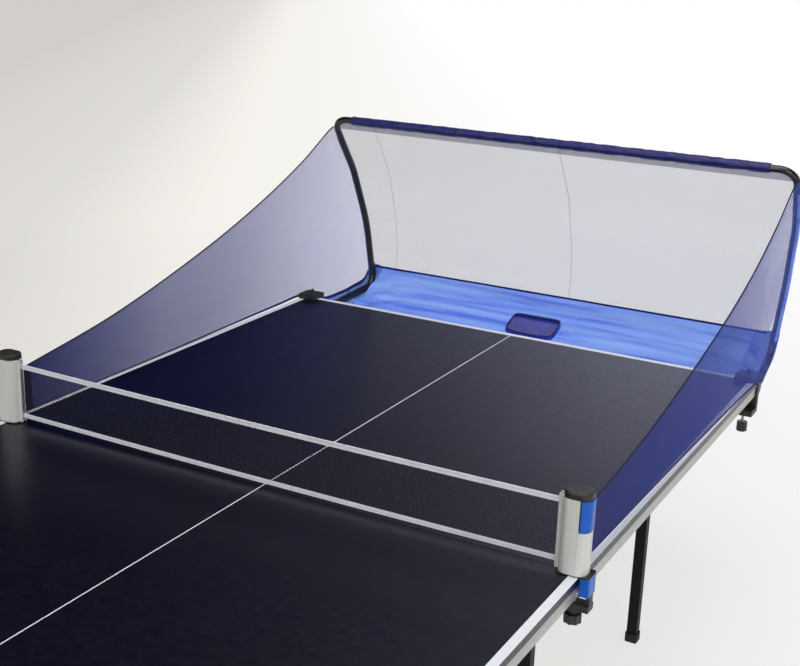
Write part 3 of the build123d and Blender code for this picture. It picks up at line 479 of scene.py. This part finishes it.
def sleeve_place(u, v):
    x = (2 * v - 1) * sleeve_half
    angle = math.radians(seam_angle + sleeve_turn * u)
    around = Vector((math.cos(angle), math.sin(angle), 0))
    ruck = noise.noise(Vector((x * broad_ruck, around.x * 1.2, around.y * 1.2)))
    ruck += 0.5 * noise.noise(Vector((x * fine_ruck + 7, around.x * 2.5, around.y * 2.5)))
    radius = sleeve_radius + sleeve_ease + ruck_depth * ruck
    return Vector((x, tube_y + radius * around.x, tube_z + radius * around.y))


def woven(finish, pitch, strength, depth):
    """Relief of a plain weave on the cut's own map; waves of scale 1 repeat every 0.31 m."""
    flat_place = own_map(finish, "UV")
    wave_scale = 0.31 / pitch
    warp = lay(finish, "TexWave", {"Vector": flat_place, "Scale": wave_scale}, bands_direction="X")
    weft = lay(finish, "TexWave", {"Vector": flat_place, "Scale": wave_scale}, bands_direction="Y")
    crossed = sums(finish, "MULTIPLY", warp.outputs["Fac"], weft.outputs["Fac"])
    relief(finish, crossed, strength, depth)


navy = new_finish("navy_nylon_cloth", Sheen_Weight=0.15)
mottle(navy, grain(navy, 18.0, 5.0), (0.0015, 0.0018, 0.075), (0.004, 0.006, 0.15), 0.36, 0.52,
       between=(0.3, 0.75))
woven(navy, 0.0010, 0.20, 0.0002)
sleeve = made("top_tube_sleeve", cut_sheet(28, 220, (0.083, 1.38), sleeve_place), navy)
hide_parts("top_sleeve")

# The back net: a pale sheer knitted net, hung from the sleeve and stretched between the arms down
# to the trough. It is sewn from three widths, with a close darker hem under the sleeve and a dark
# tape along its foot.
arm_line = [Vector(point) for point in (
    (0.742, 1.1915, 0.693), (0.712, 1.5495, 0.726), (0.736, 1.5315, 0.955), (0.757, 1.4665, 1.150),
    (0.768, 1.3445, 1.336), (0.690, 1.3445, 1.336))]
arm_bends, bend_points = (0.045, 0.500, 0.200, 0.050), 8
upright_from = 1.34


def bent(line, bends):
    """Points along a bent tube's middle, with an arc of its radius at each corner."""
    points = [line[0]]
    for before, corner, after, radius in zip(line, line[1:], line[2:], bends):
        towards, away = (before - corner).normalized(), (after - corner).normalized()
        reach = radius * math.tan((math.pi - towards.angle(away)) / 2)
        start, stop = corner + towards * reach, corner + away * reach
        points += geometry.interpolate_bezier(start, start.lerp(corner, 2 / 3),
                                              stop.lerp(corner, 2 / 3), stop, bend_points)
    return points + [line[-1]]


arm_path = bent(arm_line, arm_bends)


def at_height(z):
    """The arm's middle at a height above its lowest bend."""
    for low, high in zip(arm_path, arm_path[1:]):
        if low.z <= z <= high.z and low.y > upright_from:
            return low.lerp(high, (z - low.z) / max(high.z - low.z, 1e-6))
    return arm_path[-1].copy()


back_top, back_foot, foot_y = 1.3235, 0.795, 1.5312
on_arm_from, on_arm_to, arm_gap = 0.85, 1.316, 0.010
narrow_below, narrow_run, narrowing = 0.86, 0.06, 0.016
back_set, belly_out, belly_drop, pull_depth = 0.001, 0.006, 0.003, 0.0015


def back_place(u, v):
    z = back_foot + v * (back_top - back_foot)
    on_arm = at_height(min(max(z, on_arm_from), on_arm_to))
    on_arm.y += (foot_y - on_arm.y) * max(0.0, (on_arm_from - z) / (on_arm_from - back_foot))
    narrowed = max(0.0, (narrow_below - z) / narrow_run)
    x = (2 * u - 1) * (on_arm.x - arm_gap - narrowing * narrowed)
    belly = (1 - (2 * u - 1) ** 4) * math.sin(math.pi * v)
    pull = pull_depth * noise.noise(Vector((x * 6, z * 9, 3.0)))
    return Vector((x, on_arm.y - back_set + belly_out * belly + pull, z - belly_drop * belly * v))


def netting(finish, where, across, up, pitch, thick):
    """How much of a net is thread: two sets of threads a pitch apart, over the axes across and up
    of a map."""
    soft_edge = 0.05
    ways = lay(finish, "SeparateXYZ", {0: where}).outputs
    threads = []
    for way in (across, up):
        cell = sums(finish, "FRACT", sums(finish, "DIVIDE", ways[way], pitch))
        off = sums(finish, "ABSOLUTE", sums(finish, "SUBTRACT", cell, 0.5))
        edge = sums(finish, "SUBTRACT", 0.5, sums(finish, "MULTIPLY", thick, 0.5))
        threads.append(lay(finish, "MapRange", {
            "Value": off, "From Min": sums(finish, "SUBTRACT", edge, soft_edge),
            "From Max": sums(finish, "ADD", edge, soft_edge)}).outputs[0])
    return sums(finish, "MAXIMUM", *threads)


hem_depth, foot_depth, hem_dark = 0.022, 0.007, 0.35
first_join, second_join, join_half = 0.04, -0.615, 0.0015
sheer_pitch, sheer_thread, hem_thread, join_thread = 0.0026, 0.24, 0.30, 0.20
sheer = new_finish("pale_sheer_net", Specular_IOR_Level=0.2, Roughness=0.8)
sheer_axes = axes(sheer)
hem = sums(sheer, "GREATER_THAN", sheer_axes["Z"], back_top - hem_depth)
foot = sums(sheer, "LESS_THAN", sheer_axes["Z"], back_foot + foot_depth)
off_join = sums(sheer, "MINIMUM", *(
    sums(sheer, "ABSOLUTE", sums(sheer, "SUBTRACT", sheer_axes["X"], join))
    for join in (first_join, second_join)))
joined = sums(sheer, "LESS_THAN", off_join, join_half)
thread_width = sums(sheer, "ADD", sheer_thread, sums(sheer, "MULTIPLY", hem, hem_thread))
thread_width = sums(sheer, "ADD", thread_width, sums(sheer, "MULTIPLY", joined, join_thread))
threads = netting(sheer, own_map(sheer), "X", "Z", sheer_pitch, thread_width)
feed(sheer, Alpha=sums(sheer, "MAXIMUM", threads, foot))
sheer_tone = shades(sheer, grain(sheer, 9.0, 4.0), (0.3, (0.30, 0.31, 0.41)),
                    (0.7, (0.36, 0.37, 0.47)))
dark = sums(sheer, "MAXIMUM", sums(sheer, "MULTIPLY", hem, hem_dark), foot)
feed(sheer, Base_Color=blend(sheer, dark, sheer_tone, (0.004, 0.006, 0.11, 1.0)))
back_sheet = made("back_net_cloth", cut_sheet(72, 40, (1.46, 0.56), back_place), sheer)
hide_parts("back_net")

# The wings: navy knitted net, gathered close at the hook on each net post and opening out towards
# the arms. The lower edge lies along the table's side; a dark piping cord is sewn into the hollow
# curve of the top edge, and a strip of blue nylon covers the arm's outside along the rear edge.
wing_top = [(0.749, -0.1485, 0.880), (0.756, 0.2095, 0.932), (0.765, 0.6095, 1.024),
            (0.770, 0.9095, 1.115), (0.770, 1.1595, 1.215), (0.770, 1.3245, 1.300),
            (0.774, 1.3560, 1.307)]
wing_foot = [(0.748, -0.1485, 0.764), (0.754, 0.4500, 0.7635), (0.7650, 1.0200, 0.763),
             (0.7700, 1.1845, 0.757), (0.7560, 1.2700, 0.724), (0.7435, 1.3700, 0.7225),
             (0.7360, 1.4600, 0.7310), (0.7305, 1.5150, 0.742), (0.7296, 1.5456, 0.775)]
rear_low, rear_high, rear_out = 0.775, 1.307, 0.0125
wing_hollow, hollow_rate, wing_pull = 0.005, 1.1, 0.0020


def along(line, share):
    """The point at a share of a line's length, on a smooth curve through its points."""
    curve_steps = 64
    line = [Vector(point) for point in line]
    runs = [(after - before).length for before, after in zip(line, line[1:])]
    reach, run = share * sum(runs), 0
    while run < len(runs) - 1 and reach > runs[run]:
        reach -= runs[run]
        run += 1
    start, stop = line[run], line[run + 1]
    before = line[run - 1] if run else start * 2 - stop
    after = line[run + 2] if run + 2 < len(line) else stop * 2 - start
    lead = (stop - before) * (runs[run] / ((start - before).length + runs[run]))
    tail = (after - start) * (runs[run] / ((after - stop).length + runs[run]))
    curve = geometry.interpolate_bezier(start, start + lead / 3, stop - tail / 3, stop,
                                        curve_steps + 1)
    return curve[round(curve_steps * reach / runs[run])]


def heading(line, share, step):
    """The way a line runs at a share of its length, taken over a step to both sides."""
    return (along(line, min(1.0, share + step)) - along(line, max(0.0, share - step))).normalized()


def wing_rear(v):
    """The wing's rear edge, on the outside of the arm."""
    return at_height(rear_low + v * (rear_high - rear_low)) + Vector((rear_out, 0, 0))


def wing_place(u, v):
    foot, top = along(wing_foot, u), along(wing_top, u)
    corner_foot, corner_top = along(wing_foot, 1.0), along(wing_top, 1.0)
    spot = foot.lerp(top, v)
    spot += (wing_rear(v) - corner_foot.lerp(corner_top, v)) * u ** 3
    hollow = math.sin(math.pi * v) * math.sin(math.pi * min(1.0, u * hollow_rate))
    spot.x -= wing_hollow * hollow
    pull = noise.noise(Vector((spot.y * 3, spot.z * 16, 1.0)))
    spot.x += wing_pull * math.sin(math.pi * v) * pull
    return spot


knit_pitch, knit_slant = 0.0028, math.radians(45)
front_hem_width, foot_hem_width, hem_cover, foot_hem_dark = 0.033, 0.012, 0.95, 0.8
wing_net = new_finish("navy_knitted_net", Specular_IOR_Level=0.25, Roughness=0.7)
opening = lay(wing_net, "MapRange", {"Value": axes(wing_net)["Y"], "From Min": -0.15,
                                     "From Max": 1.50}).outputs[0]
thickness = shades(wing_net, opening, *greys((0.0, 0.72), (0.35, 0.36), (0.7, 0.20), (1.0, 0.12)))
slanted = lay(wing_net, "Mapping", {"Vector": own_map(wing_net),
                                    "Rotation": (knit_slant, 0.0, 0.0)})
knit = netting(wing_net, slanted.outputs[0], "Y", "Z", knit_pitch, thickness)
wing_map = axes(wing_net, "UV")
front_hem = sums(wing_net, "LESS_THAN", wing_map["X"], front_hem_width)
foot_hem = sums(wing_net, "LESS_THAN", wing_map["Y"], foot_hem_width)
hemmed = sums(wing_net, "MAXIMUM", front_hem, foot_hem)
feed(wing_net, Alpha=sums(wing_net, "MAXIMUM", knit,
                          sums(wing_net, "MULTIPLY", hemmed, hem_cover)))
# Painted shade: the net's colour darkens towards the posts, where it is gathered close.
wing_tone_and_gather_shade = shades(wing_net, opening, (0.0, (0.010, 0.015, 0.12)), (0.5, (0.022, 0.042, 0.34)),
                   (1.0, (0.07, 0.12, 0.60)))
dark_edge = sums(wing_net, "MAXIMUM", front_hem,
                 sums(wing_net, "MULTIPLY", foot_hem, foot_hem_dark))
feed(wing_net, Base_Color=blend(wing_net, dark_edge, wing_tone_and_gather_shade, (0.002, 0.003, 0.030, 1.0)))

piping_radius, piping_step = 0.0021, 0.01
piping_cloth = new_finish("dark_piping_cord", Specular_IOR_Level=0.3)
ply_twist_and_groove_shade = lay(piping_cloth, "TexWave", {"Vector": own_map(piping_cloth, "UV"), "Scale": 160.0},
          bands_direction="DIAGONAL").outputs["Fac"]
# Painted shade: the cord is darker in the sunk grooves of its twist.
feed(piping_cloth, Base_Color=shades(piping_cloth, ply_twist_and_groove_shade, (0.0, (0.004, 0.005, 0.028)),
                                     (1.0, (0.012, 0.015, 0.06))),
     Roughness=spread(piping_cloth, grain(piping_cloth, 300.0), 0.55, 0.75))
relief(piping_cloth, ply_twist_and_groove_shade, 0.4, 0.0004)

arm_low, arm_high, arm_step = 0.772, 1.270, 0.01
strip_radius, strip_pucker, strip_middle, strip_reach = 0.0132, 0.0006, 14, 82
nylon = new_finish("blue_nylon_cloth", Sheen_Weight=0.1)
# Painted shade and highlight: long streaks of darker and lighter blue stand in for the shade and
# shine of folds in the cloth.
streaks_of_painted_fold_shade = grain(nylon, 3.2, 3.0, (0.8, 9.0, 5.0), 0.5)
feed(nylon, Base_Color=shades(nylon, streaks_of_painted_fold_shade, (0.30, (0.09, 0.18, 0.80)), (0.46, (0.21, 0.37, 0.97)),
                              (0.70, (0.31, 0.48, 1.0))),
     Roughness=spread(nylon, streaks_of_painted_fold_shade, 0.34, 0.46))
woven(nylon, 0.0012, 0.12, 0.0002)

for side, sign in (("left", -1), ("right", 1)):
    mirror = Matrix.Diagonal((sign, 1, 1))

    def piping_place(u, v):
        ahead = heading(wing_top, v, piping_step)
        out = ahead.cross(Vector((0, 0, 1))).normalized()
        angle = 2 * math.pi * u
        ring = math.cos(angle) * out + math.sin(angle) * out.cross(ahead)
        return mirror @ (along(wing_top, v) + piping_radius * ring)

    def strip_place(u, v):
        z = arm_low + v * (arm_high - arm_low)
        ahead = (at_height(z + arm_step) - at_height(z - arm_step)).normalized()
        inward = ahead.cross(Vector((1, 0, 0))).normalized()
        out = inward.cross(ahead)
        angle = math.radians(strip_middle + strip_reach * (2 * u - 1))
        radius = strip_radius + strip_pucker * noise.noise(Vector((z * 30, u * 3, sign)))
        return mirror @ (at_height(z) + radius * (math.cos(angle) * out + math.sin(angle) * inward))

    wing = made(f"{side}_wing_cloth",
                cut_sheet(96, 32, (1.74, 0.55), lambda u, v: mirror @ wing_place(u, v)),
                wing_net)
    piping = made(f"{side}_wing_piping",
                  cut_sheet(10, 90, (0.013, 1.66), piping_place, seamed=True),
                  piping_cloth)
    strip = made(f"{side}_arm_strip", cut_sheet(14, 40, (0.040, 0.51), strip_place), nylon)
    yarn = wing.modifiers.new("yarn", "SOLIDIFY")
    yarn.thickness, yarn.offset, yarn.use_rim = 0.0006, 0.0, False
    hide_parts(f"{side}_wing_net")
    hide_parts("wing_edge_cords")

# The trough: glossy mid-blue nylon slung behind the table end, so that balls roll to the pocket in
# its middle. It sags most in the middle, with long folds across it, and its back edge is sewn to
# the foot of the back net.
trough_half, front_height, back_height = 0.660, 0.752, 0.796
sag_middle, sag_end, end_drop = 0.052, 0.018, 0.030
fold_depth, corner_from, corner_run = 0.0080, 0.42, 0.24
pocket_low, pocket_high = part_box("ball_pocket")
pocket_middle = (Vector(pocket_low) + Vector(pocket_high)) / 2
pocket_reach = (Vector(pocket_high) - Vector(pocket_low)) / 2
mouth_fit, mouth_search, squareness = 0.965, 1.3, 8


def trough_place(u, v):
    x = (2 * u - 1) * trough_half
    out = abs(x) / trough_half
    sag = sag_middle - (sag_middle - sag_end) * out ** 2
    drop = end_drop * out ** 4
    # Back from the table's end: the front edge, the dip where balls run, the rise to the net.
    section = [(0.0, 0.004, front_height), (0.0, 0.028, front_height - 0.62 * (sag + drop)),
               (0.0, 0.062, front_height - sag - drop), (0.0, 0.150, 0.750 - 0.33 * sag - drop),
               (0.0, 0.235, 0.774 - 0.25 * sag - drop), (0.0, 0.352, back_height)]
    spot = along(section, v)
    free = math.sin(math.pi * v) ** 0.6
    fold = noise.noise(Vector((x * 2.2, v * 7.0, 0.0)))
    fold += 0.6 * noise.noise(Vector((x * 1.1 + 4, v * 15.0, 2.0)))
    corner = max(0.0, abs(x) - corner_from) / corner_run
    fold += 1.6 * corner * noise.noise(Vector(((abs(x) + 0.5 * v) * 14, v * 2.0, 5.0)))
    return Vector((x, far_edge + spot.y, spot.z + fold_depth * free * fold))


def squared(out_x, out_y):
    """How far out a spot is on a scale where a rounded oblong is 1 all the way round."""
    return (abs(out_x) ** squareness + abs(out_y) ** squareness) ** (1 / squareness)


def mouth_share(spot):
    """How far a spot is from the middle of the pocket's mouth, as a share of the way to its
    rounded edge."""
    return squared((spot.x - pocket_middle.x) / pocket_reach.x,
                   (spot.y - pocket_middle.y) / pocket_reach.y)


trough_cloth = cut_sheet(150, 62, (1.32, 0.375), trough_place)
cut_out = [face for face in trough_cloth.faces
           if mouth_share(face.calc_center_median()) < mouth_fit]
bmesh.ops.delete(trough_cloth, geom=cut_out, context="FACES")
for edge in trough_cloth.edges:
    for point in edge.verts:
        if edge.is_boundary and mouth_share(point.co) < mouth_search:
            fit = mouth_fit / mouth_share(point.co)
            point.co.x = pocket_middle.x + (point.co.x - pocket_middle.x) * fit
            point.co.y = pocket_middle.y + (point.co.y - pocket_middle.y) * fit
trough = made("trough_cloth", trough_cloth, nylon)
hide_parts("trough")

# The corner gussets: blue nylon pieces that carry each end of the trough under and behind the
# arm's lower bend. They come up on the outside of the arm, and are sewn there to the foot of the
# wing.
gusset_front, gusset_step, gusset_slack = 0.08, 0.02, 0.003
socket_end, socket_clear, tube_clear = 1.268, 0.0185, 0.0140
bend_height, gusset_height = 0.780, 0.800
arm_foot = [point for point in arm_path if point.z < bend_height] + [at_height(gusset_height)]

for side, sign in (("left", -1), ("right", 1)):
    mirror = Matrix.Diagonal((sign, 1, 1))

    def gusset_place(u, v):
        share = gusset_front + (1 - gusset_front) * u
        tube = along(arm_foot, share)
        below = heading(arm_foot, share, gusset_step).cross(Vector((1, 0, 0))).normalized()
        clear = socket_clear if tube.y < socket_end else tube_clear
        rim_line = [trough_place(1.0, share), tube + below * clear, tube + Vector((clear, 0, 0)),
                    along(wing_foot[3:], share)]
        ease = 1 + noise.noise(Vector((u * 9, v * 4, sign * 3.0)))
        slack = math.sin(math.pi * min(1.0, v * 2.0)) * ease
        return mirror @ (along(rim_line, v) + gusset_slack * slack * below)

    gusset = made(f"{side}_corner_gusset", cut_sheet(44, 24, (0.36, 0.135), gusset_place), nylon)

# The ball pocket: a small bag of navy net cloth sewn into the mouth in the middle of the trough,
# open at the top. Its rim is bound with a folded tape that stands up at the back and hangs slack
# at the front; its bottom sags round.
rim_front, rim_back, rim_slack = 0.735, 0.767, 0.007
bottom_part, bottom_size, bottom_rise, bottom_gap = 0.3, 0.90, 0.026, 0.001
bag_belly, bag_flare, bottom_ripple, wall_ripple = 0.04, 0.065, 0.05, 0.04
rim_drop, rim_half, rim_inset, rim_thick = 0.003, 0.0055, 0.0012, 0.0016
bag_pitch, bag_thread = 0.0024, 0.74


def pocket_ring(share, u, ripple, level):
    """A spot on a rounded oblong ring of the bag, walked side by side."""
    side, step = divmod(4 * u % 4, 1)
    out_x, out_y = Matrix.Rotation(side * math.pi / 2, 2) @ Vector((1, 2 * step - 1))
    corner = squared(out_x, out_y)
    out_x, out_y = out_x / corner, out_y / corner
    wave = share * (1 + ripple * noise.noise(Vector((out_x * 3, out_y * 3, level * 4))))
    return Vector((pocket_middle.x + pocket_reach.x * wave * out_x,
                   pocket_middle.y + pocket_reach.y * wave * out_y, 0))


def rim_height(spot):
    """The rim's height, which hangs slack along the front."""
    back_share = (spot.y - pocket_middle.y) / pocket_reach.y / 2 + 0.5
    slack = 1 - ((spot.x - pocket_middle.x) / pocket_reach.x) ** 2
    return rim_front + (rim_back - rim_front) * back_share - rim_slack * slack * (1 - back_share)


def bag_place(u, v):
    deep = pocket_low[2] + bottom_gap
    if v < bottom_part:
        share = v / bottom_part
        spot = pocket_ring(bottom_size * share ** 0.8, u, bottom_ripple, 0.0)
        spot.z = deep + bottom_rise * share ** 3
        return spot
    rise = (v - bottom_part) / (1 - bottom_part)
    size = bottom_size + bag_belly * math.sin(math.pi * rise) + bag_flare * rise
    spot = pocket_ring(size, u, wall_ripple * (1 - rise), rise)
    spot.z = deep + bottom_rise + rise * (rim_height(spot) - deep - bottom_rise)
    return spot


def rim_place(u, v):
    spot = pocket_ring(mouth_fit, u, 0.0, 1.0)
    inward = Vector((pocket_middle.x - spot.x, pocket_middle.y - spot.y, 0)).normalized()
    angle = 2 * math.pi * v
    spot.z = rim_height(spot) - rim_drop + rim_half * math.sin(angle)
    return spot + inward * (rim_inset + rim_thick * math.cos(angle))


bag_net = new_finish("navy_bag_net", Specular_IOR_Level=0.25)
mottle(bag_net, grain(bag_net, 30.0, 5.0), (0.010, 0.016, 0.30), (0.05, 0.07, 0.55), 0.55, 0.75,
       between=(0.3, 0.75))
feed(bag_net, Alpha=netting(bag_net, own_map(bag_net, "UV"), "X", "Y", bag_pitch, bag_thread))
woven(bag_net, 0.0021, 0.4, 0.0004)
pocket = made("ball_pocket_bag", cut_sheet(64, 26, (0.42, 0.17), bag_place, seamed=True), bag_net)
rim = made("ball_pocket_rim", cut_sheet(64, 10, (0.42, 0.03), rim_place, seamed=True), navy)
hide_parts("ball_pocket")
